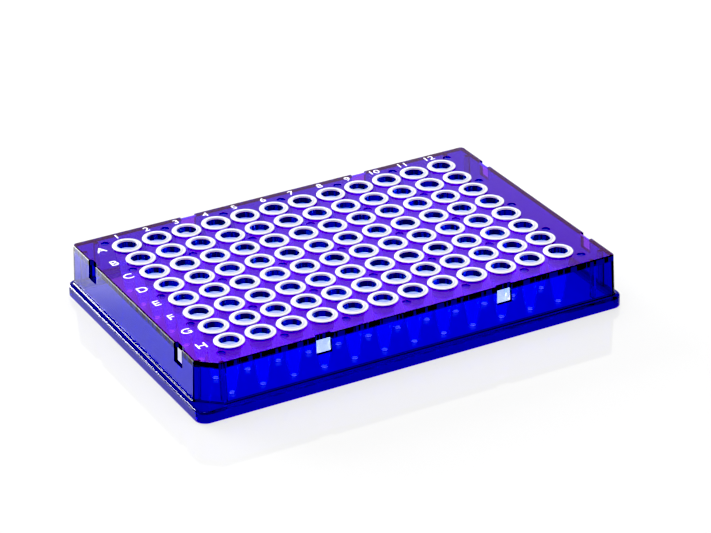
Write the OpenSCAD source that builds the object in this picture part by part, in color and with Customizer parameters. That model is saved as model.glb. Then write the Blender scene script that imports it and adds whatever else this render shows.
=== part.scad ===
// A fully skirted 96-well plate: one moulded frame, and wells moulded separately that sit in its deck.
// Millimetres. The origin is the centre of the footprint, on the surface that the plate stands on.
// +X runs along the row of column numbers, +Y towards row A, +Z up.

/* [Plate] */
// Footprint from left to right
plate_length = 127.76; // [122:0.01:160]
// Footprint from front to back
plate_width = 85.48; // [82:0.01:110]
// From the standing surface to the top of the rims
plate_height = 15.92; // [15.4:0.01:22]
// Corner radius of the footprint
corner_radius = 3.2; // [2.8:0.1:5]

/* [Base flange] */
// Height of the ledge around the foot of the skirt
ledge_height = 3.4; // [2.6:0.1:5]
// Thickness of the flange's upright rim
flange_wall = 1.2; // [0.8:0.05:1.4]
// Thickness of the ledge
ledge_thickness = 1.2; // [0.8:0.05:1.6]
// How far the flange's face leans in from its foot to the ledge
flange_lean = 0.05; // [0:0.05:0.3]
// Rounding of the flange's upper edge
flange_round = 0.6; // [0.2:0.05:0.8]
// Rounding of the flange's lower edge
foot_round = 0.3; // [0.1:0.05:0.5]

/* [Skirt] */
// From the footprint's edge in to the foot of the skirt
skirt_setback = 1.5; // [1.2:0.05:2.2]
// Thickness of the skirt
skirt_wall = 1; // [0.8:0.05:1.3]
// How far the skirt leans in from its foot to the deck
skirt_lean = 0.5; // [0.1:0.05:0.7]
// Hollow radius where the skirt meets the ledge
skirt_cove = 0.5; // [0.2:0.05:0.7]
// Length that the cut corner takes off the long side
cut_corner_x = 5.15; // [3:0.05:6]
// Length that the cut corner takes off the short side
cut_corner_y = 4.5; // [3:0.05:6]

/* [Deck] */
// Thickness of the deck
deck_thickness = 1.65; // [1:0.05:2.2]
// Rounding of the deck's outer edge
deck_round = 0.3; // [0.1:0.05:0.5]
// Radius of the blind dimples between the wells
dimple_radius = 1.15; // [0.6:0.05:1.4]
// Depth of the dimples
dimple_depth = 0.18; // [0.1:0.01:0.8]
// Wells from one dimple to the next
dimple_step = 2; // [1:1:3]

/* [Notches] */
// Width of the notches in the skirt
notch_width = 4.5; // [3:0.1:8]
// How far the notches cut in from the deck's edge
notch_depth = 1; // [0.9:0.05:1.2]
// Height of the notches' sills
notch_sill = 9.95; // [6:0.05:12]
// From the plate's centre lines to the centre of each notch
notch_offset = 27; // [20:0.5:30]

/* [Ribs] */
// Width of the ribs inside the skirt
rib_width = 1.15; // [0.6:0.05:2]
// How far the ribs stand in from the skirt
rib_depth = 1.3; // [0.6:0.05:2]
// Height of the ribs' lower ends
rib_foot = 3.7; // [3:0.1:9]
// From the footprint's left or right edge in to the ribs of the long sides
rib_inset_long = 8.5; // [7.8:0.05:12]
// From the footprint's front or back edge in to the ribs of the short sides
rib_inset_short = 7.25; // [6.5:0.05:12]

/* [Wells] */
// Number of columns of wells
columns = 12; // [1:1:12]
// Number of rows of wells
rows = 8; // [1:1:8]
// From one well to the next
well_pitch = 9; // [8.3:0.01:9.4]
// From the top of the lip to the tip of the well
well_length = 15.55; // [12:0.05:15.65]
// Radius of the bore at the mouth
bore_radius = 2.75; // [2.2:0.01:2.8]
// Wall of the tube under the rim
tube_wall = 0.4; // [0.3:0.01:0.6]
// Wall of the cone and the tip
cone_wall = 0.33; // [0.2:0.01:0.5]
// From the top of the lip to the start of the cone
straight_length = 3.3; // [2.8:0.05:8]
// Outer radius of the tip
tip_radius = 1.45; // [1:0.01:1.7]
// Radius of the rim
rim_radius = 4.075; // [3.6:0.005:4.15]
// Thickness of the rim
rim_thickness = 0.25; // [0.2:0.01:0.4]
// Rounding of the rim's outer edge
rim_round = 0.12; // [0.05:0.01:0.15]
// Radius of the neck between the rim and the deck
neck_radius = 3.55; // [3.4:0.01:3.9]
// Height of the neck
neck_height = 0.23; // [0.1:0.01:0.4]
// Height of the sealing lip above the rim
lip_height = 0.17; // [0.05:0.01:0.3]
// Width of the flat top of the lip
lip_width = 0.2; // [0.1:0.01:0.3]
// Radius where the slope of the lip meets the rim
lip_foot_radius = 3.42; // [3.2:0.01:3.7]
// Bevel of the mouth's edge
mouth_bevel = 0.08; // [0.02:0.01:0.15]
// Gap around each tube in its hole in the deck
hole_clearance = 0.05; // [0.02:0.01:0.2]

/* [Hidden] */
$fn = 96;
past = 1; // how far a cut runs past the face that it opens

function column_name(c) = str("wells_column_", c < 10 ? "0" : "", c);

rim_top = plate_height - lip_height;
deck_top = rim_top - rim_thickness - neck_height;
deck_underside = deck_top - deck_thickness;
ledge_underside = ledge_height - ledge_thickness;

// The frame's corners turn about four upright axes.
// A reach is a distance out from the lines that join them.
axis_x = plate_length / 2 - corner_radius;
axis_y = plate_width / 2 - corner_radius;
foot_reach = corner_radius - skirt_setback;
deck_reach = foot_reach - skirt_lean;
seam_reach = deck_reach - (skirt_wall - skirt_lean) / 2; // lies within the skirt from foot to deck
skirt_angle = atan(skirt_lean / (deck_top - ledge_height));
flange_angle = atan(flange_lean / (ledge_height - foot_round));
cove = min(skirt_cove, skirt_setback - flange_lean - flange_round); // no wider than the ledge

function skirt_face(z) = foot_reach - (z - ledge_height) * tan(skirt_angle);
function flange_face(z) = corner_radius - (z - foot_round) * tan(flange_angle);

// The cut corner is the one beside the last well of the first column
cut_corner_length = norm([cut_corner_x, cut_corner_y]);
cut_corner_middle = [cut_corner_x / 2 - axis_x - deck_reach, cut_corner_y / 2 - axis_y - deck_reach];
cut_corner_facing = 180 + atan2(cut_corner_x, cut_corner_y);

tube_radius = bore_radius + tube_wall;
hole_radius = tube_radius + hole_clearance;
knee_radius = bore_radius + cone_wall;
knee_z = plate_height - straight_length;
tip_z = plate_height - well_length + tip_radius; // centre of the rounded tip
cone_angle = acos(tip_radius / norm([knee_radius, knee_z - tip_z]))
    - atan2(knee_z - tip_z, knee_radius);

function well_x(column) = (column - (columns + 1) / 2) * well_pitch;
function well_y(row) = ((rows + 1) / 2 - row) * well_pitch;

// Points along an arc of radius r about a centre, from one angle to another
function arc(centre, r, from, to, steps = 6) = [
    for (i = [0:steps])
        let (angle = from + (to - from) * i / steps)
        centre + r * [cos(angle), sin(angle)]
];

// The plan of the plate out to a reach, with its round corners
module plan(reach) {
    square([2 * (axis_x + reach), 2 * axis_y], center = true);
    square([2 * axis_x, 2 * (axis_y + reach)], center = true);
    for (x = [-axis_x, axis_x], y = [-axis_y, axis_y]) translate([x, y]) circle(reach);
}

// Section of the skirt and its flange: reach across, height up
module skirt_section() {
    foot_centre = [corner_radius - foot_round, foot_round];
    flange_centre = [
        flange_face(ledge_height - flange_round) - flange_round / cos(flange_angle),
        ledge_height - flange_round
    ];
    cove_centre = [
        skirt_face(ledge_height + cove) + cove / cos(skirt_angle),
        ledge_height + cove
    ];
    deck_centre = [
        skirt_face(deck_top - deck_round) - deck_round / cos(skirt_angle),
        deck_top - deck_round
    ];
    polygon(concat(
        [[corner_radius - flange_wall, 0]],
        arc(foot_centre, foot_round, -90, 0),
        arc(flange_centre, flange_round, flange_angle, 90),
        arc(cove_centre, cove, 270, 180 + skirt_angle),
        arc(deck_centre, deck_round, skirt_angle, 90),
        [
            [deck_reach - skirt_wall, deck_top],
            [foot_reach - skirt_wall, ledge_height],
            [foot_reach - skirt_wall, ledge_underside],
            [corner_radius - flange_wall, ledge_underside]
        ]
    ));
}

// Section of a rib, from inside the skirt to its free edge
module rib_section() {
    buried = skirt_wall / 2;
    shown = skirt_wall + rib_depth;
    top = deck_underside + deck_thickness / 2;
    polygon([
        [skirt_face(rib_foot) - shown, rib_foot],
        [skirt_face(rib_foot) - buried, rib_foot],
        [skirt_face(top) - buried, top],
        [skirt_face(top) - shown, top]
    ]);
}

// Places its children on one of the four sides, with +X out
// and the origin on the line between the corner axes.
// Sides 0 and 2 are the short ones.
module on_side(side) {
    rotate(90 * side) translate([side % 2 == 0 ? axis_x : axis_y, 0, 0]) children();
}

// Sweeps a section along Y, centred
module sweep(length) {
    rotate([90, 0, 0]) linear_extrude(length, center = true) children();
}

module skirt() {
    for (side = [0:3]) {
        half_length = side % 2 == 0 ? axis_y : axis_x;
        on_side(side) {
            sweep(2 * half_length) skirt_section();
            translate([0, half_length, 0]) rotate_extrude(angle = 90)
                intersection() {
                    skirt_section();
                    square([corner_radius + past, plate_height]);
                }
        }
    }
}

module ribs() {
    for (side = [0:3]) {
        place = side % 2 == 0 ? plate_width / 2 - rib_inset_short : plate_length / 2 - rib_inset_long;
        on_side(side) for (y = [-place, place]) translate([0, y, 0]) sweep(rib_width) rib_section();
    }
}

// Places its children at the middle of the cut corner, with +X out
module at_cut_corner() {
    translate(cut_corner_middle) rotate(cut_corner_facing) children();
}

// The wall across the cut corner, and the ledge outside it
module cut_corner_wall() {
    intersection() {
        at_cut_corner() translate([-skirt_wall, -cut_corner_length, ledge_underside])
            cube([skirt_wall + past, 2 * cut_corner_length, deck_top - deck_round - ledge_underside]);
        linear_extrude(plate_height) plan(seam_reach);
    }
    intersection() {
        at_cut_corner() translate([-skirt_wall, -cut_corner_length, ledge_underside])
            cube([cut_corner_length, 2 * cut_corner_length, ledge_thickness]);
        linear_extrude(plate_height) plan(foot_reach);
    }
}

// What the cut corner takes away, down to the ledge, with a round deck edge
module corner_cut() {
    deck_centre = [-deck_round, deck_top - deck_round];
    at_cut_corner() sweep(4 * cut_corner_length) polygon(concat(
        arc(deck_centre, deck_round, 90, 0),
        [
            [0, ledge_height],
            [cut_corner_length, ledge_height],
            [cut_corner_length, deck_top + past],
            [-deck_round, deck_top + past]
        ]
    ));
}

module notch_cuts() {
    for (side = [0:3], y = [-notch_offset, notch_offset]) on_side(side)
        translate([deck_reach - notch_depth, y - notch_width / 2, notch_sill])
            cube([notch_depth + skirt_lean + past, notch_width, plate_height]);
}

module dimple_cuts() {
    for (i = [0:dimple_step:columns], j = [0:dimple_step:rows])
        translate([(i - columns / 2) * well_pitch, (j - rows / 2) * well_pitch, deck_top - dimple_depth])
            cylinder(h = dimple_depth + past, r = dimple_radius);
}

module well_holes() {
    for (column = [1:columns], row = [1:rows])
        translate([well_x(column), well_y(row), deck_underside - past])
            cylinder(h = deck_thickness + 2 * past, r = hole_radius);
}

module frame() {
    color("blueviolet") difference() {
        union() {
            skirt();
            translate([0, 0, deck_underside]) linear_extrude(deck_thickness)
                plan(deck_reach - skirt_wall / 2);
            ribs();
            cut_corner_wall();
        }
        corner_cut();
        notch_cuts();
        dimple_cuts();
        well_holes();
    }
}

// Half section of a closed tip: a cone that touches a ball of radius r, below a given height
module tip_section(r, top_radius, top_z) {
    touch = [r * cos(cone_angle), tip_z - r * sin(cone_angle)];
    polygon([[0, touch[1]], touch, [top_radius, top_z], [0, top_z]]);
    intersection() {
        translate([0, tip_z]) circle(r);
        translate([0, tip_z - 2 * r]) square([2 * r, touch[1] - tip_z + 2 * r]);
    }
}

// Half section of a well: the neck stands on the deck, and the tube hangs through its hole
module well_section() {
    inner_knee_z = knee_z + cone_wall * tan(cone_angle / 2);
    rim_centre = [rim_radius - rim_round, rim_top - rim_round];
    difference() {
        union() {
            polygon(concat(
                [
                    [0, deck_top],
                    [neck_radius, deck_top],
                    [neck_radius, deck_top + neck_height],
                    [rim_radius, deck_top + neck_height]
                ],
                arc(rim_centre, rim_round, 0, 90, 4),
                [
                    [lip_foot_radius, rim_top],
                    [bore_radius + mouth_bevel + lip_width, plate_height],
                    [0, plate_height]
                ]
            ));
            polygon([[0, knee_z], [knee_radius, knee_z], [tube_radius, deck_top], [0, deck_top]]);
            tip_section(tip_radius, knee_radius, knee_z);
        }
        tip_section(tip_radius - cone_wall, bore_radius, inner_knee_z);
        polygon([
            [0, inner_knee_z],
            [bore_radius, inner_knee_z],
            [bore_radius, plate_height - mouth_bevel],
            [bore_radius + mouth_bevel, plate_height],
            [bore_radius + mouth_bevel, plate_height + past],
            [0, plate_height + past]
        ]);
    }
}

module wells_column(column) {
    color("ghostwhite") for (row = [1:rows])
        translate([well_x(column), well_y(row), 0]) rotate_extrude() well_section();
}

frame();
for (c = [1:columns])
    wells_column(c);
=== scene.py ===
"""Finishes a skirted well plate: clear tinted frame, milky wells and printed grid, in a studio."""

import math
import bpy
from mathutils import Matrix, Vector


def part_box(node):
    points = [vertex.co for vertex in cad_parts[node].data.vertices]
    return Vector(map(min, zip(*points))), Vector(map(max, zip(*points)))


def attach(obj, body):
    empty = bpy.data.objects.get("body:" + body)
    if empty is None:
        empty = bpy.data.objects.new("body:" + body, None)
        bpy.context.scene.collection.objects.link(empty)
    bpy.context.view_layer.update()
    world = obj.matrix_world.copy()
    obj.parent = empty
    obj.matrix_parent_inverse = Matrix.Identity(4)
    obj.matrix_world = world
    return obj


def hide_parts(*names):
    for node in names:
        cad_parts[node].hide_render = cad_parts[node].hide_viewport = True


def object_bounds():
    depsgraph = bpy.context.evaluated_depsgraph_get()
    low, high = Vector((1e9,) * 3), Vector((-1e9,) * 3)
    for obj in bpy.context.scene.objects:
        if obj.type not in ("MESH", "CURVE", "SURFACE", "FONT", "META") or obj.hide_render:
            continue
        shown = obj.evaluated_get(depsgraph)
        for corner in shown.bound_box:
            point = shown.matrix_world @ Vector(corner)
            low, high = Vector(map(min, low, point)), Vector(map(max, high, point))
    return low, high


bl_info = {
    "name": "Well plate",
    "version": (1, 0, 0),
    "blender": (4, 5, 0),
    "location": "View3D > Sidebar > Well plate",
    "description": "Finishes a well plate's frame, wells and print, and sets a studio around it",
    "category": "Object",
}

import bmesh
import bpy
from bpy.props import FloatProperty, FloatVectorProperty, PointerProperty
from mathutils import Matrix, Vector

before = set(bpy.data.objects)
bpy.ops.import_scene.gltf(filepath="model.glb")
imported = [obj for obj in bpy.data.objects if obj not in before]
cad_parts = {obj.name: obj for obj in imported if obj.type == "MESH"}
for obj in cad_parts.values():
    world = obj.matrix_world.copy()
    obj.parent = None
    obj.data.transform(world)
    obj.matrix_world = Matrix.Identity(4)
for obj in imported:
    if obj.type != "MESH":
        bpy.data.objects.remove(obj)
cad_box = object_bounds()

COLUMN_NODES = sorted(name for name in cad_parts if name.startswith("wells_column_"))
MM = 0.001

# Sizes that the nodes' boxes don't give
DECK_THICKNESS = 1.65 * MM
LEDGE_HEIGHT = 3.4 * MM
LEDGE_WIDTH = 2.0 * MM  # from the foot's edge in to the deck's edge

# Meshes
WELD = 0.001 * MM  # corners closer than this are merged
CREASE = math.radians(25)  # edges that turn further than this stay sharp
SAME_AREA = 0.001 * MM * MM  # faces whose areas differ by less weigh alike in the normals

# Masks of the frame
SKIN = 0.02 * MM  # masks turn over this far from a face, to take in all of it or none
BLEND = 0.04 * MM
WIDE_BLEND = 0.1 * MM
EDGE_DEPTH = 1.0 * MM  # the deck's painted dark edge, a painted shade for the long path of light through the plastic, in from its outline
EDGE_CUT = 0.4, 0.6  # values between which the mask of the painted dark edge is sharpened
COVE_FOOT = 0.06 * MM  # painted shade: the dark band in the cove, above the ledge
COVE_BLEND = 0.03 * MM
COVE_HEAD = 0.3 * MM
WALL_BLEND = 0.2 * MM  # from the flange's colour to the skirt's, below the ledge
HOLE_HEAD = 0.25 * MM  # the holes' painted light and dark streaks stop this far below the deck's top, under its dimples

# Masks of the wells
RIM_FOOT = 0.25 * MM  # above the deck
RIM_BLEND = 0.06 * MM
LIP_DEPTH = 0.155 * MM  # from the lips' top down to the foot of their flanks
FINE_BLEND = 0.01 * MM

# Noise, in cells for each metre
FRAME_FLOW = 90.0
WELLS_FLOW = 400.0
STREAKS = 900.0
STREAK_STRETCH = (1.0, 1.0, 0.03)  # makes the painted streaks in the holes run upright
STREAK_DETAIL = 1.0
STREAK_CUT = 0.50, 0.53  # noise values between a painted dark and a painted light streak
SPECKLE = 3000.0
DETAIL = 2.0

# Gloss
FRAME_GLOSS = 0.6, 0.8  # share of the roughness that is even, and share that follows the noise
WELLS_GLOSS = 0.01, 0.02  # roughness that is even, and roughness that follows the noise
MILK_ROUGHNESS = 0.3
INK_ROUGHNESS = 0.45
INK_SHADE = 0.94  # brightness of the ink's darker specks
FLOOR_ROUGHNESS = 0.03
FLOOR_INDEX = 1.5

# Backdrop: places on a sphere of radius 1 around the plate, each with its blend
SKY_TURN = 0.43, 0.07
WINDOW_HEAD = 0.405, 0.03
WINDOW_SIDES = 0.24, 0.04
WINDOW_AHEAD = 0.1, 0.1

SOFTBOX_BACK = 0.1  # metres behind the plate's middle
SENSOR_WIDTH = 36.0  # millimetres
CLIP_END = 20.0  # metres
BOUNCES = 40  # light passes many walls of plastic, one behind the other

BLACK = (0.0, 0.0, 0.0, 1.0)
WHITE = (1.0, 1.0, 1.0, 1.0)


# Sizes read from the frame


class Grid:
    """Where the wells and the deck lie, read from the CAD nodes."""

    def __init__(self):
        boxes = [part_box(name) for name in COLUMN_NODES]
        self.column_x = [(low[0] + high[0]) / 2 for low, high in boxes]
        self.pitch = self.column_x[1] - self.column_x[0]
        low, high = boxes[0]
        self.rim_radius = (high[0] - low[0]) / 2
        self.rows = round((high[1] - low[1] - 2 * self.rim_radius) / self.pitch) + 1
        self.row_y = [high[1] - self.rim_radius - self.pitch * row for row in range(self.rows)]
        self.rim_top = high[2]
        self.tip_bottom = low[2]
        foot_x, foot_y, self.deck_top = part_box("frame")[1]
        self.deck_bottom = self.deck_top - DECK_THICKNESS
        self.deck_reach = (foot_x - LEDGE_WIDTH, foot_y - LEDGE_WIDTH)


grid = Grid()


# Shader nodes


class Socket:
    """A shader output that can be added, multiplied and so on, alone or with plain numbers."""

    def __init__(self, recipe, output):
        self.recipe = recipe
        self.output = output

    def maths(self, operation, *values):
        return self.recipe.node("ShaderNodeMath", {"operation": operation}, dict(enumerate(values)))

    def __add__(self, other):
        return self.maths("ADD", self, other)

    def __radd__(self, other):
        return self.maths("ADD", other, self)

    def __sub__(self, other):
        return self.maths("SUBTRACT", self, other)

    def __rsub__(self, other):
        return self.maths("SUBTRACT", other, self)

    def __mul__(self, other):
        return self.maths("MULTIPLY", self, other)

    def __rmul__(self, other):
        return self.maths("MULTIPLY", other, self)

    def __abs__(self):
        return self.maths("ABSOLUTE", self)

    def __getitem__(self, name):
        """Another output of the same node."""
        return Socket(self.recipe, self.output.node.outputs[name])

    def fade(self, start, end):
        """A mask that goes from 0 where the value is start to 1 where it is end."""
        return self.recipe.node("ShaderNodeMapRange", {"clamp": True}, {
            "Value": self, "From Min": start, "From Max": end})

    def above(self, level, blend):
        """A mask that is 1 above a level and blends to 0 below it."""
        return self.fade(level - blend, level)

    def below(self, level, blend):
        """A mask that is 1 below a level and blends to 0 above it."""
        return self.fade(level + blend, level)


class Recipe:
    """Builds one node tree, of a material or of the world."""

    def __init__(self, owner):
        owner.use_nodes = True
        self.tree = owner.node_tree
        self.tree.nodes.clear()

    def node(self, kind, settings=None, inputs=None):
        """Adds a node, sets it up, then fills or links its sockets. Returns its first output."""
        made = self.tree.nodes.new(kind)
        for name, value in (settings or {}).items():
            setattr(made, name, value)
        for name, value in (inputs or {}).items():
            if isinstance(value, Socket):
                self.tree.links.new(value.output, made.inputs[name])
            else:
                made.inputs[name].default_value = value
        return Socket(self, made.outputs[0]) if made.outputs else None

    def mix_colours(self, factor, first, second):
        """Blends two colours by a factor from 0 to 1. The node's colours are 6, 7 and output 2."""
        inputs = {0: factor, 6: first, 7: second}
        return self.node("ShaderNodeMix", {"data_type": "RGBA"}, inputs)[2]

    def noise(self, place, scale, detail=DETAIL):
        inputs = {"Vector": place, "Scale": scale, "Detail": detail}
        return self.node("ShaderNodeTexNoise", None, inputs)["Fac"]

    def dot(self, first, second):
        inputs = {0: first, 1: second}
        return self.node("ShaderNodeVectorMath", {"operation": "DOT_PRODUCT"}, inputs)["Value"]


def material(name):
    made = bpy.data.materials.new(name)
    return made, Recipe(made)


def opaque(colour):
    """A colour as the nodes take it, with its alpha."""
    return (*colour, 1.0)


def dress(piece, finish):
    """Gives a piece one material in all its slots."""
    piece.data.materials.clear()
    piece.data.materials.append(finish)


# Settings


class WELLPLATE_PG_frame(bpy.types.PropertyGroup):
    """The clear tinted moulding"""

    tint: FloatVectorProperty(
        name="Tint", description="Colour that the plastic lets through",
        subtype="COLOR", size=3, min=0, max=1, default=(0.50, 0.0, 0.89))
    density: FloatProperty(
        name="Tint density",
        description="How strongly the plastic takes up the other colours, for each metre",
        min=0, default=1750.0)
    wall_colour: FloatVectorProperty(
        name="Wall colour", description="Colour that the skirt lets through besides the tint",
        subtype="COLOR", size=3, min=0, max=1, default=(0.12, 0.34, 0.86))
    flange_colour: FloatVectorProperty(
        name="Flange colour", description="Colour that the flange lets through besides the tint",
        subtype="COLOR", size=3, min=0, max=1, default=(0.05, 0.05, 0.6))
    # Painted shade: dark colour on the deck's outer edges and in the skirt's cove
    edge_and_cove_shade: FloatVectorProperty(
        name="Edge colour",
        description="Colour that the deck's outer edges and the skirt's cove let through",
        subtype="COLOR", size=3, min=0, max=1, default=(0.0, 0.0, 0.02))
    # Painted shade: width of the dark line along the deck's top edge
    border: FloatProperty(
        name="Dark border",
        description="Width of the dark line along the deck's edge, seen from above",
        unit="LENGTH", default=0.25 * MM)
    # Painted highlight, painted shade and painted glow: light and dark upright streaks on the walls
    # of the deck's holes, standing in for refractions
    hole_painted_light: FloatVectorProperty(
        name="Light streaks",
        description="Colour that the walls of the deck's holes let through in light streaks",
        subtype="COLOR", size=3, min=0, max=1, default=(0.1, 0.8, 1.0))
    hole_painted_shade: FloatVectorProperty(
        name="Dark streaks",
        description="Colour that the walls of the deck's holes let through in dark streaks",
        subtype="COLOR", size=3, min=0, max=1, default=(0.01, 0.02, 0.05))
    hole_painted_glow: FloatVectorProperty(
        name="Streak glow",
        description="Light that leaves the light streaks of the deck's holes and edges",
        subtype="COLOR", size=3, min=0, max=1, default=(0.0, 0.01, 0.22))
    # Painted glow on the deck's top, standing in for light scattered up from the lit tubes below
    painted_deck_glow: FloatVectorProperty(
        name="Haze", description="Light that leaves the deck's top",
        subtype="COLOR", size=3, min=0, max=1, default=(0.06, 0.01, 0.08))
    gloss: FloatProperty(
        name="Roughness", description="Roughness of the moulded faces",
        min=0, max=1, default=0.02)
    index: FloatProperty(
        name="Refractive index", description="Refractive index of the plastic",
        min=1, default=1.46)


class WELLPLATE_PG_wells(bpy.types.PropertyGroup):
    """The milky wells"""

    colour: FloatVectorProperty(
        name="Colour", description="Colour of the plastic",
        subtype="COLOR", size=3, min=0, max=1, default=(0.97, 0.98, 1.0))
    milk_top: FloatProperty(
        name="Milkiness under the deck",
        description="Share of the light that the tubes scatter just below the deck",
        subtype="FACTOR", min=0, max=1, default=0.8)
    milk: FloatProperty(
        name="Milkiness", description="Share of the light that the tubes scatter further down",
        subtype="FACTOR", min=0, max=1, default=0.06)
    milk_depth: FloatProperty(
        name="Milky depth", description="How far the stronger milkiness reaches below the deck",
        unit="LENGTH", default=3.0 * MM)
    index: FloatProperty(
        name="Refractive index", description="Refractive index of the plastic",
        min=1, default=1.49)
    rim_colour: FloatVectorProperty(
        name="Rim colour", description="Colour of the flat rims",
        subtype="COLOR", size=3, min=0, max=1, default=(0.70, 0.705, 0.73))
    # Painted shade: a lilac tone on the top of the sealing lips
    lip_painted_shade: FloatVectorProperty(
        name="Lip colour", description="Colour of the top of the sealing lips round the bores",
        subtype="COLOR", size=3, min=0, max=1, default=(0.58, 0.60, 0.77))
    # Painted shade: a greyer tone on the lips' flanks, between the lip and the flat rim
    groove_painted_shade: FloatVectorProperty(
        name="Groove colour", description="Colour of the sealing lips' flanks",
        subtype="COLOR", size=3, min=0, max=1, default=(0.5, 0.5, 0.6))
    # Painted glow: the wells' walls give light, standing in for light that runs along them
    glow: FloatProperty(
        name="Glow", description="Strength of the light that runs inside the walls and leaves them",
        min=0, default=2.8)
    body_glow: FloatVectorProperty(
        name="Body glow", description="Light that leaves the walls of the tubes",
        subtype="COLOR", size=3, min=0, max=1, default=(0.0, 0.01, 0.05))
    upper_glow: FloatVectorProperty(
        name="Upper glow", description="Light that leaves the walls just below the deck",
        subtype="COLOR", size=3, min=0, max=1, default=(0.02, 0.028, 0.08))
    # Painted glow at the tips, in the plastic's own colour
    tip_height: FloatProperty(
        name="Tip glow height",
        description="How far up from the tip the walls leave light of the plastic's own colour",
        unit="LENGTH", default=0.32 * MM)


class WELLPLATE_PG_print(bpy.types.PropertyGroup):
    """The printed letters and numbers"""

    letter_height: FloatProperty(
        name="Letter height", description="Height of the row letters",
        unit="LENGTH", default=2.65 * MM)
    number_height: FloatProperty(
        name="Number height", description="Height of the column numbers",
        unit="LENGTH", default=2.2 * MM)
    letter_gap: FloatProperty(
        name="Letter gap", description="From the first column's centre to the letters",
        unit="LENGTH", default=7.1 * MM)
    letter_rise: FloatProperty(
        name="Letter rise", description="From a row's centre up to the middle of its letter",
        unit="LENGTH", default=1.6 * MM)
    number_gap: FloatProperty(
        name="Number gap", description="From the first row's centre to the numbers",
        unit="LENGTH", default=7.0 * MM)
    weight: FloatProperty(
        name="Weight", description="How far each stroke is thickened on both sides",
        unit="LENGTH", default=0.0)
    stretch: FloatProperty(
        name="Stretch", description="Widens the characters",
        min=0.5, max=2, default=1.15)
    thickness: FloatProperty(
        name="Ink thickness", description="Thickness of the ink",
        unit="LENGTH", default=0.02 * MM)
    colour: FloatVectorProperty(
        name="Ink", description="Colour of the ink",
        subtype="COLOR", size=3, min=0, max=1, default=(0.92, 0.92, 0.95))
    # Painted glow: the ink gives light of its own colour
    glow: FloatProperty(
        name="Glow", description="Light that shines through the ink from the deck",
        min=0, default=0.5)


class WELLPLATE_PG_stage(bpy.types.PropertyGroup):
    """Camera, lights, backdrop and floor"""

    azimuth: FloatProperty(
        name="Camera azimuth",
        description="Angle of the camera round the plate, from its front to the right",
        subtype="ANGLE", default=math.radians(-27.890))
    elevation: FloatProperty(
        name="Camera elevation", description="Angle of the camera above the floor",
        subtype="ANGLE", default=math.radians(27.044))
    roll: FloatProperty(
        name="Camera roll", description="Turn of the camera about its own axis",
        subtype="ANGLE", default=math.radians(-1.3245))
    distance: FloatProperty(
        name="Camera distance", description="From the camera to the point that it looks at",
        unit="LENGTH", default=787.94 * MM)
    aim: FloatVectorProperty(
        name="Aim", description="The point that the camera looks at, from the middle of the plate",
        subtype="TRANSLATION", unit="LENGTH", size=3,
        default=(5.113 * MM, 1.699 * MM, -0.024 * MM))
    lens: FloatProperty(
        name="Focal length", description="Focal length on a 36 mm sensor, in millimetres",
        min=1, default=145.72)
    floor_size: FloatProperty(
        name="Floor size", description="Side of the square floor",
        unit="LENGTH", default=6.0)
    floor_colour: FloatVectorProperty(
        name="Floor", description="Colour of the floor",
        subtype="COLOR", size=3, min=0, max=1, default=(0.2, 0.2, 0.2))
    floor_glow: FloatProperty(
        name="Floor glow", description="Light that the floor gives, as a lit table does",
        min=0, default=0.67)
    sky_low: FloatProperty(
        name="Horizon light", description="Brightness of the backdrop at the horizon",
        min=0, default=1.1)
    sky_high: FloatProperty(
        name="Upper light", description="Brightness of the backdrop overhead",
        min=0, default=0.7)
    window: FloatProperty(
        name="Window light",
        description="Brightness that a low window adds to the backdrop, behind the plate",
        min=0, default=20.0)
    window_azimuth: FloatProperty(
        name="Window azimuth", description="Angle of the window, from the plate's back to the left",
        subtype="ANGLE", default=math.radians(19.0))
    softbox_power: FloatProperty(
        name="Softbox power", description="Power of the overhead softbox",
        unit="POWER", min=0, default=5.0)
    softbox_size: FloatProperty(
        name="Softbox size", description="Side of the overhead softbox",
        unit="LENGTH", default=0.9)
    softbox_height: FloatProperty(
        name="Softbox height", description="Height of the overhead softbox",
        unit="LENGTH", default=0.8)
    black_level: FloatProperty(
        name="Black level", description="Light that prints as black",
        min=0, max=0.5, default=0.08)
    white_level: FloatProperty(
        name="White level", description="Light that prints as white",
        min=0.5, max=2, default=1.0)


# Shapes


def new_piece(name, mesh):
    piece = bpy.data.objects.new(name, mesh)
    bpy.context.scene.collection.objects.link(piece)
    return piece


def smooth_copy(node, name):
    """A merged copy of a CAD node's mesh, smooth except along its sharp edges."""
    mesh = bpy.data.meshes.new(name)
    shape = bmesh.new()
    shape.from_mesh(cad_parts[node].data)
    bmesh.ops.remove_doubles(shape, verts=shape.verts, dist=WELD)
    shape.to_mesh(mesh)
    shape.free()
    mesh.attributes.remove(mesh.attributes["custom_normal"])
    mesh.shade_smooth()
    mesh.set_sharp_from_angle(angle=CREASE)
    piece = new_piece(name, mesh)
    normals = piece.modifiers.new("normals", "WEIGHTED_NORMAL")
    normals.mode = "FACE_AREA"
    normals.weight = 100
    normals.thresh = SAME_AREA
    normals.keep_sharp = True
    return piece


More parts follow.
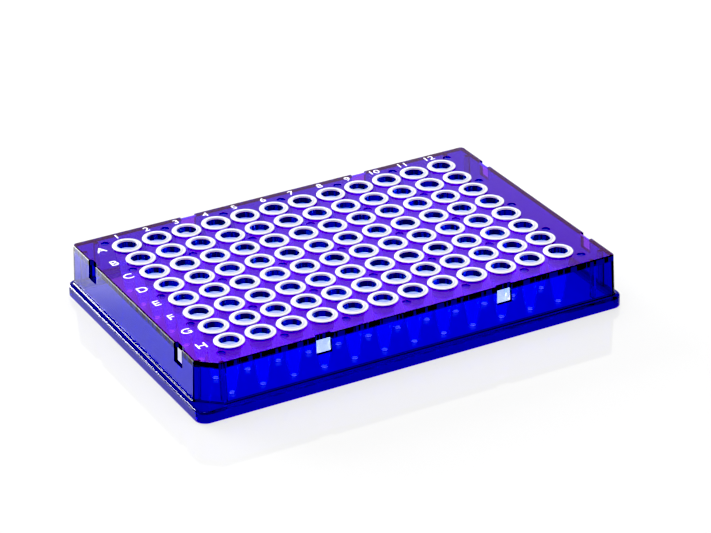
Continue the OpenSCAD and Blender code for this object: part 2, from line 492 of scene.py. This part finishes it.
def character_mesh(text, height, look):
    """One printed character, centred on the origin, with its foot on z = 0."""
    curve = bpy.data.curves.new("character", "FONT")
    curve.body = text
    curve.align_x = "CENTER"
    curve.size = 1.0
    holder = bpy.data.objects.new("character", curve)
    bpy.context.scene.collection.objects.link(holder)
    bpy.context.view_layer.update()
    tall = holder.dimensions.y
    curve.size = height / tall
    curve.offset = look.weight
    curve.extrude = look.thickness / 2
    bpy.context.view_layer.update()
    solid = holder.evaluated_get(bpy.context.evaluated_depsgraph_get())
    mesh = bpy.data.meshes.new_from_object(solid)
    bpy.data.objects.remove(holder)
    bpy.data.curves.remove(curve)
    corners = [vertex.co for vertex in mesh.vertices]
    low = Vector(min(c[axis] for c in corners) for axis in range(3))
    high = Vector(max(c[axis] for c in corners) for axis in range(3))
    middle = (low + high) / 2
    mesh.transform(Matrix.Translation((-middle.x, -middle.y, -low.z)))
    mesh.transform(Matrix.Diagonal((look.stretch, 1.0, 1.0, 1.0)))
    return mesh


# Finishes


def frame_finish(look):
    finish, recipe = material("tinted_clear_plastic")
    place = recipe.node("ShaderNodeTexCoord")["Object"]
    axes = recipe.node("ShaderNodeSeparateXYZ", None, {"Vector": place})
    height = axes["Z"]
    # Upright noise for the painted light and dark streaks in the deck's holes
    upright = recipe.node("ShaderNodeMapping", None, {"Vector": place, "Scale": STREAK_STRETCH})
    streaks = recipe.noise(upright["Vector"], STREAKS, STREAK_DETAIL).fade(*STREAK_CUT)
    flow = recipe.noise(place, FRAME_FLOW)

    in_wall = height.above(LEDGE_HEIGHT, WALL_BLEND)
    in_deck = height.above(grid.deck_bottom - SKIN, BLEND)
    on_top = height.above(grid.deck_top - SKIN, BLEND)
    in_hole = height.above(grid.deck_bottom + SKIN + BLEND, BLEND)
    in_hole = in_hole * height.below(grid.deck_top - HOLE_HEAD, BLEND)
    # Painted shade: a dark band in the cove at the skirt's foot
    cove = height.above(LEDGE_HEIGHT + COVE_FOOT, COVE_BLEND)
    cove = cove * height.below(LEDGE_HEIGHT + COVE_HEAD, WIDE_BLEND)
    # Painted shade on the deck's edge: its edge faces, and a thin line along its top
    side = 0.0
    border = 0.0
    for name, reach in zip("XY", grid.deck_reach):
        across = abs(axes[name])
        side = side + across.above(reach - EDGE_DEPTH, WIDE_BLEND)
        border = border + across.above(reach - look.border, WIDE_BLEND)
    edge = (in_deck * (side + on_top * (border - side))).fade(*EDGE_CUT)

    colour = recipe.mix_colours(in_wall, opaque(look.flange_colour), opaque(look.wall_colour))
    colour = recipe.mix_colours(in_deck, colour, WHITE)
    # Painted highlight and painted shade: light and dark streaks on the holes' walls
    hole_painted_streaks = recipe.mix_colours(streaks, opaque(look.hole_painted_shade), opaque(look.hole_painted_light))
    colour = recipe.mix_colours(in_hole, colour, hole_painted_streaks)
    # Painted glow on the deck's top, except on its painted dark edge
    painted_deck_glow = recipe.mix_colours(on_top * (1 - edge), BLACK, opaque(look.painted_deck_glow))
    even, uneven = FRAME_GLOSS
    surface = recipe.node("ShaderNodeBsdfPrincipled", None, {
        # Painted shade on the deck's edge and in the cove
        "Base Color": recipe.mix_colours(edge + cove, colour, opaque(look.edge_and_cove_shade)),
        "Roughness": look.gloss * (even + uneven * flow),
        "IOR": look.index,
        "Transmission Weight": 1.0,
        # Painted glow: the holes' light streaks, and the deck's top
        "Emission Color": recipe.mix_colours(in_hole * streaks, painted_deck_glow, opaque(look.hole_painted_glow)),
        "Emission Strength": 1.0,
    })
    inside = recipe.node("ShaderNodeVolumeAbsorption", None, {
        "Color": opaque(look.tint),
        "Density": look.density,
    })
    recipe.node("ShaderNodeOutputMaterial", None, {"Surface": surface, "Volume": inside})
    return finish


def wells_finish(look):
    finish, recipe = material("milky_clear_plastic")
    place = recipe.node("ShaderNodeTexCoord")["Object"]
    height = recipe.node("ShaderNodeSeparateXYZ", None, {"Vector": place})["Z"]
    flow = recipe.noise(place, WELLS_FLOW)

    # Masks for the painted shade on the lips' tops and flanks
    on_lip = height.above(grid.rim_top - FINE_BLEND, 2 * FINE_BLEND)
    on_flank = height.above(grid.rim_top - LIP_DEPTH, FINE_BLEND)
    in_rim = height.above(grid.deck_top + RIM_FOOT, RIM_BLEND)
    under_deck = height.below(grid.deck_bottom - WIDE_BLEND, WIDE_BLEND)
    half_milk = look.milk_depth / 2
    upper = height.above(grid.deck_bottom - half_milk, half_milk)
    half_tip = look.tip_height / 2
    in_tip = height.below(grid.tip_bottom + half_tip, half_tip)
    in_tip = in_tip * height.above(grid.tip_bottom + SKIN + BLEND, BLEND)

    body = recipe.mix_colours(in_rim, opaque(look.colour), opaque(look.rim_colour))
    # Painted shade on the lips' flanks and tops
    body = recipe.mix_colours(on_flank, body, opaque(look.groove_painted_shade))
    body = recipe.mix_colours(on_lip, body, opaque(look.lip_painted_shade))
    # Painted glow: the tubes below the deck, more just below it, and the tips in the plastic's own
    # colour
    glow = recipe.mix_colours(under_deck, BLACK, opaque(look.body_glow))
    glow = recipe.mix_colours(upper * under_deck, glow, opaque(look.upper_glow))
    glow = recipe.mix_colours(in_tip, glow, opaque(look.colour))
    even, uneven = WELLS_GLOSS
    clear = recipe.node("ShaderNodeBsdfPrincipled", None, {
        "Base Color": opaque(look.colour),
        "Roughness": even + uneven * flow,
        "IOR": look.index,
        "Transmission Weight": 1.0,
        "Emission Color": glow,
        "Emission Strength": look.glow,
    })
    milk = recipe.node("ShaderNodeBsdfPrincipled", None, {
        "Base Color": body,
        "Roughness": MILK_ROUGHNESS,
        "IOR": look.index,
        "Emission Color": glow,
        "Emission Strength": look.glow,
    })
    share = under_deck * (look.milk + (look.milk_top - look.milk) * upper) + in_rim
    surface = recipe.node("ShaderNodeMixShader", None, {0: share, 1: clear, 2: milk})
    recipe.node("ShaderNodeOutputMaterial", None, {"Surface": surface})
    return finish


def print_finish(look):
    finish, recipe = material("white_ink")
    place = recipe.node("ShaderNodeTexCoord")["Object"]
    shaded = [part * INK_SHADE for part in look.colour]
    ink = recipe.mix_colours(recipe.noise(place, SPECKLE), opaque(shaded), opaque(look.colour))
    surface = recipe.node("ShaderNodeBsdfPrincipled", None, {
        "Base Color": ink,
        "Roughness": INK_ROUGHNESS,
        # Painted glow of the ink
        "Emission Color": ink,
        "Emission Strength": look.glow,
    })
    recipe.node("ShaderNodeOutputMaterial", None, {"Surface": surface})
    return finish


def floor_finish(look):
    finish, recipe = material("pale_glossy_floor")
    surface = recipe.node("ShaderNodeBsdfPrincipled", None, {
        "Base Color": opaque(look.floor_colour),
        "Roughness": FLOOR_ROUGHNESS,
        "IOR": FLOOR_INDEX,
        "Emission Color": WHITE,
        "Emission Strength": look.floor_glow,
    })
    recipe.node("ShaderNodeOutputMaterial", None, {"Surface": surface})
    return finish


# Operators


class WELLPLATE_OT_frame(bpy.types.Operator):
    """Gives the frame its clear tinted plastic"""

    bl_idname = "wellplate.frame"
    bl_label = "Frame"

    def execute(self, context):
        piece = smooth_copy("frame", "tinted_frame")
        dress(piece, frame_finish(context.scene.wellplate_frame))
        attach(piece, "root")
        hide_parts("frame")
        return {"FINISHED"}


class WELLPLATE_OT_wells(bpy.types.Operator):
    """Gives the columns of wells their milky plastic"""

    bl_idname = "wellplate.wells"
    bl_label = "Wells"

    def execute(self, context):
        finish = wells_finish(context.scene.wellplate_wells)
        for node in COLUMN_NODES:
            piece = smooth_copy(node, node.replace("wells_", "milky_wells_"))
            dress(piece, finish)
            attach(piece, "root")
            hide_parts(node)
        return {"FINISHED"}


class WELLPLATE_OT_print(bpy.types.Operator):
    """Prints the row letters and the column numbers on the deck"""

    bl_idname = "wellplate.print"
    bl_label = "Print"

    def execute(self, context):
        look = context.scene.wellplate_print
        letters_x = grid.column_x[0] - look.letter_gap
        numbers_y = grid.row_y[0] + look.number_gap
        marks = [
            (chr(ord("A") + row), look.letter_height, letters_x, y + look.letter_rise)
            for row, y in enumerate(grid.row_y)
        ]
        marks += [
            (str(column + 1), look.number_height, x, numbers_y)
            for column, x in enumerate(grid.column_x)
        ]
        shape = bmesh.new()
        for text, height, x, y in marks:
            mesh = character_mesh(text, height, look)
            mesh.transform(Matrix.Translation((x, y, grid.deck_top)))
            shape.from_mesh(mesh)
            bpy.data.meshes.remove(mesh)
        mesh = bpy.data.meshes.new("printed_grid")
        shape.to_mesh(mesh)
        shape.free()
        piece = new_piece("printed_grid", mesh)
        dress(piece, print_finish(look))
        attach(piece, "root")
        return {"FINISHED"}


class WELLPLATE_OT_stage(bpy.types.Operator):
    """Sets the floor, the backdrop, the lights and the camera"""

    bl_idname = "wellplate.stage"
    bl_label = "Stage"

    def execute(self, context):
        look = context.scene.wellplate_stage
        self.floor(look)
        self.backdrop(context.scene, look)
        self.softbox(context.scene, look)
        self.camera(context.scene, look)
        self.film(context.scene.view_settings, look)
        context.scene.cycles.max_bounces = BOUNCES
        context.scene.cycles.transmission_bounces = BOUNCES
        return {"FINISHED"}

    def floor(self, look):
        mesh = bpy.data.meshes.new("floor")
        shape = bmesh.new()
        bmesh.ops.create_grid(shape, x_segments=1, y_segments=1, size=look.floor_size / 2)
        shape.to_mesh(mesh)
        shape.free()
        piece = new_piece("floor", mesh)
        dress(piece, floor_finish(look))

    def backdrop(self, scene, look):
        """A pale dome, brighter near the horizon, with a bright window low behind the plate."""
        world = bpy.data.worlds.new("studio")
        scene.world = world
        recipe = Recipe(world)
        direction = recipe.node("ShaderNodeTexCoord")["Generated"]
        height = recipe.node("ShaderNodeSeparateXYZ", None, {"Vector": direction})["Z"]
        sky = look.sky_high + (look.sky_low - look.sky_high) * height.below(*SKY_TURN)
        leftwards, backwards = math.sin(look.window_azimuth), math.cos(look.window_azimuth)
        ahead = recipe.dot(direction, (-leftwards, backwards, 0.0))
        aside = abs(recipe.dot(direction, (backwards, leftwards, 0.0)))
        pane = ahead.above(*WINDOW_AHEAD) * aside.below(*WINDOW_SIDES)
        window = pane * height.below(*WINDOW_HEAD)
        light = recipe.node("ShaderNodeBackground", None, {
            "Color": WHITE, "Strength": sky + look.window * window})
        recipe.node("ShaderNodeOutputWorld", None, {"Surface": light})

    def softbox(self, scene, look):
        """A flat square light overhead that faces the plate."""
        lamp = bpy.data.lights.new("softbox", "AREA")
        lamp.shape = "SQUARE"
        lamp.energy = look.softbox_power
        lamp.size = look.softbox_size
        holder = bpy.data.objects.new("softbox", lamp)
        holder.visible_camera = False
        place = Vector((0.0, SOFTBOX_BACK, look.softbox_height))
        facing = place.to_track_quat("Z", "Y").to_matrix().to_4x4()
        holder.matrix_world = Matrix.Translation(place) @ facing
        scene.collection.objects.link(holder)

    def film(self, view, look):
        """Prints the darkest tones as black and the lightest as white."""
        view.view_transform = "Standard"
        view.use_curve_mapping = True
        view.curve_mapping.black_level = [look.black_level] * 3
        view.curve_mapping.white_level = [look.white_level] * 3
        view.curve_mapping.update()

    def camera(self, scene, look):
        low, high = cad_box
        middle = (Vector(low) + Vector(high)) / 2
        aim = middle + Vector(look.aim)
        away = Vector((
            math.sin(look.azimuth) * math.cos(look.elevation),
            -math.cos(look.azimuth) * math.cos(look.elevation),
            math.sin(look.elevation),
        ))
        data = bpy.data.cameras.new("camera")
        data.lens = look.lens
        data.sensor_width = SENSOR_WIDTH
        data.clip_end = CLIP_END
        camera = bpy.data.objects.new("camera", data)
        facing = away.to_track_quat("Z", "Y").to_matrix().to_4x4()
        place = Matrix.Translation(aim + away * look.distance)
        camera.matrix_world = place @ facing @ Matrix.Rotation(look.roll, 4, "Z")
        scene.collection.objects.link(camera)
        scene.camera = camera


class WELLPLATE_PT_panel(bpy.types.Panel):
    """Lists the plate's pieces and their settings"""

    bl_label = "Well plate"
    bl_space_type = "VIEW_3D"
    bl_region_type = "UI"
    bl_category = "Well plate"

    def draw(self, context):
        for operator, group in STEPS:
            box = self.layout.box()
            box.operator(operator.bl_idname)
            settings = getattr(context.scene, group)
            for name in settings.bl_rna.properties.keys():
                if name not in ("rna_type", "name"):
                    box.prop(settings, name)


STEPS = [
    (WELLPLATE_OT_stage, "wellplate_stage"),
    (WELLPLATE_OT_frame, "wellplate_frame"),
    (WELLPLATE_OT_wells, "wellplate_wells"),
    (WELLPLATE_OT_print, "wellplate_print"),
]
GROUPS = {
    "wellplate_frame": WELLPLATE_PG_frame,
    "wellplate_wells": WELLPLATE_PG_wells,
    "wellplate_print": WELLPLATE_PG_print,
    "wellplate_stage": WELLPLATE_PG_stage,
}
CLASSES = [*GROUPS.values(), *[operator for operator, _ in STEPS], WELLPLATE_PT_panel]


def register():
    for kind in CLASSES:
        bpy.utils.register_class(kind)
    for name, group in GROUPS.items():
        setattr(bpy.types.Scene, name, PointerProperty(type=group))


def unregister():
    for name in GROUPS:
        delattr(bpy.types.Scene, name)
    for kind in reversed(CLASSES):
        bpy.utils.unregister_class(kind)


def main():
    register()
    bpy.ops.wellplate.stage()
    bpy.ops.wellplate.frame()
    bpy.ops.wellplate.wells()
    bpy.ops.wellplate.print()


if __name__ == "__main__":
    main()
